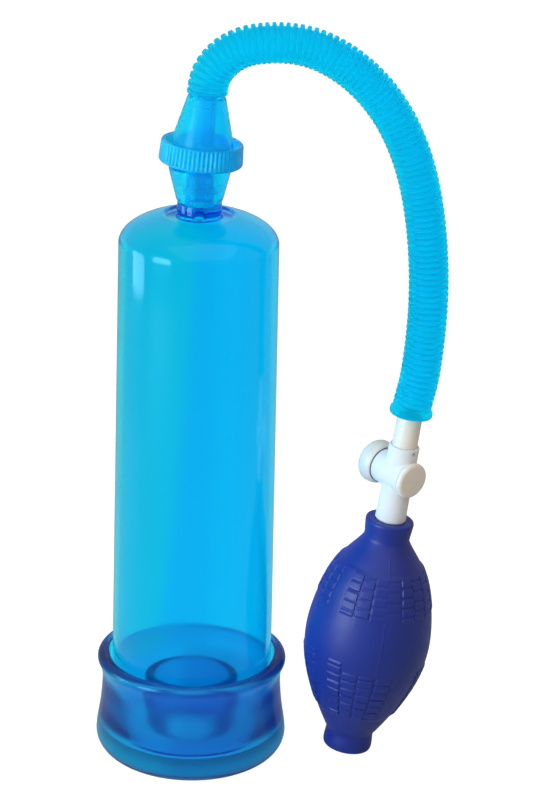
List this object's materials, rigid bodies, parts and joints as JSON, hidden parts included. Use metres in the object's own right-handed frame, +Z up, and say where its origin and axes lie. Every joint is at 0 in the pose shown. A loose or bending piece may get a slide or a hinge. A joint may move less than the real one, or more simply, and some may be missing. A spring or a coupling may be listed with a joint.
{
  "type": "hand bulb vacuum pump",
  "caption": "Clear domed cylinder in a soft entry sleeve, joined by a knurled union and a corrugated hose to a push-button release valve and a rubber squeeze bulb.",
  "frame": {"origin": "on the floor, at the middle of the footprint without the hose", "axes": "+Z up along the cylinder, +X from the cylinder towards the bulb, +Y away from the viewer"},
  "size_m": [0.1226, 0.07, 0.2726],
  "materials": {
    "sleeve_rubber": "soft translucent blue rubber, satin",
    "clear_cylinder": "clear cyan-blue plastic, glossy",
    "coupling_plastic": "translucent blue plastic, glossy",
    "hose_plastic": "translucent blue corrugated plastic",
    "white_plastic": "milky white moulded plastic, satin",
    "bulb_rubber": "matte royal-blue rubber with moulded grip bricks",
    "seal_rubber": "black rubber",
    "spring_steel": "drawn spring wire"
  },
  "bodies": {
    "sleeve": {"entry_sleeve": "sleeve_rubber"},
    "cylinder": {"cylinder": "clear_cylinder"},
    "lower_coupling": {"lower_cone": "coupling_plastic", "spigot_o_ring": "seal_rubber"},
    "hose_end": {"upper_cone": "coupling_plastic", "hose_insert": "coupling_plastic", "union_seal": "seal_rubber", "hose": "hose_plastic"},
    "union_ring": {"coupling_ring": "coupling_plastic"},
    "bulb": {"hose_stem": "white_plastic", "valve_body": "white_plastic", "valve_end_cap": "white_plastic", "bulb_frame": "bulb_rubber", "suction_valve_seat": "white_plastic", "suction_valve_retainer": "white_plastic", "exhaust_valve_body": "white_plastic", "exhaust_valve_retainer": "white_plastic"},
    "button": {"release_button": "white_plastic", "valve_plunger": "white_plastic", "plunger_o_ring": "seal_rubber", "valve_spring": "spring_steel"},
    "left_wall": {"bulb_left_wall": "bulb_rubber"},
    "right_wall": {"bulb_right_wall": "bulb_rubber"},
    "suction_flap": {"suction_valve_disc": "seal_rubber"},
    "exhaust_flap": {"exhaust_valve_disc": "seal_rubber"}
  },
  "joints": [
    {"name": "cylinder_lift", "type": "slide", "parent": "sleeve", "child": "cylinder", "axis": [0, 0, 1], "range_m": [0, 0.045]},
    {"name": "hose_swivel", "type": "hinge", "parent": "cylinder", "child": "lower_coupling", "pos_m": [-0.02605, 0, 0.215], "axis": [0, 0, 1], "continuous": true},
    {"name": "hose_unplug", "type": "slide", "parent": "lower_coupling", "child": "hose_end", "axis": [0.0785, 0, 0.9969], "range_m": [0, 0.012]},
    {"name": "ring_turn", "type": "hinge", "parent": "hose_end", "child": "union_ring", "pos_m": [-0.02605, 0, 0.2225], "axis": [0.0785, 0, 0.9969], "continuous": true},
    {"name": "bulb_swing", "type": "hinge", "parent": "hose_end", "child": "bulb", "pos_m": [0.05455, 0, 0.175], "axis": [0, -1, 0], "range_deg": [-2, 60], "stiffness_Nm_per_rad": 0.25, "deforming": ["hose"]},
    {"name": "release_press", "type": "slide", "parent": "bulb", "child": "button", "axis": [0.6275, -0.7739, -0.0856], "range_m": [0, 0.0025], "stiffness_N_per_m": 800, "deforming": ["valve_spring"]},
    {"name": "squeeze_left", "type": "slide", "parent": "bulb", "child": "left_wall", "axis": [0.9908, 0, -0.1352], "range_m": [0, 0.009], "stiffness_N_per_m": 600},
    {"name": "squeeze_right", "type": "slide", "parent": "bulb", "child": "right_wall", "axis": [-0.9908, 0, 0.1352], "range_m": [0, 0.009], "stiffness_N_per_m": 600},
    {"name": "suction_lift", "type": "slide", "parent": "bulb", "child": "suction_flap", "axis": [-0.1352, 0, -0.9908], "range_m": [0, 0.0012], "stiffness_N_per_m": 30},
    {"name": "exhaust_lift", "type": "slide", "parent": "bulb", "child": "exhaust_flap", "axis": [-0.1352, 0, -0.9908], "range_m": [0, 0.0012], "stiffness_N_per_m": 30}
  ],
  "couplings": [
    {"joint": "squeeze_right", "follows": "squeeze_left", "ratio": 1}
  ]
}
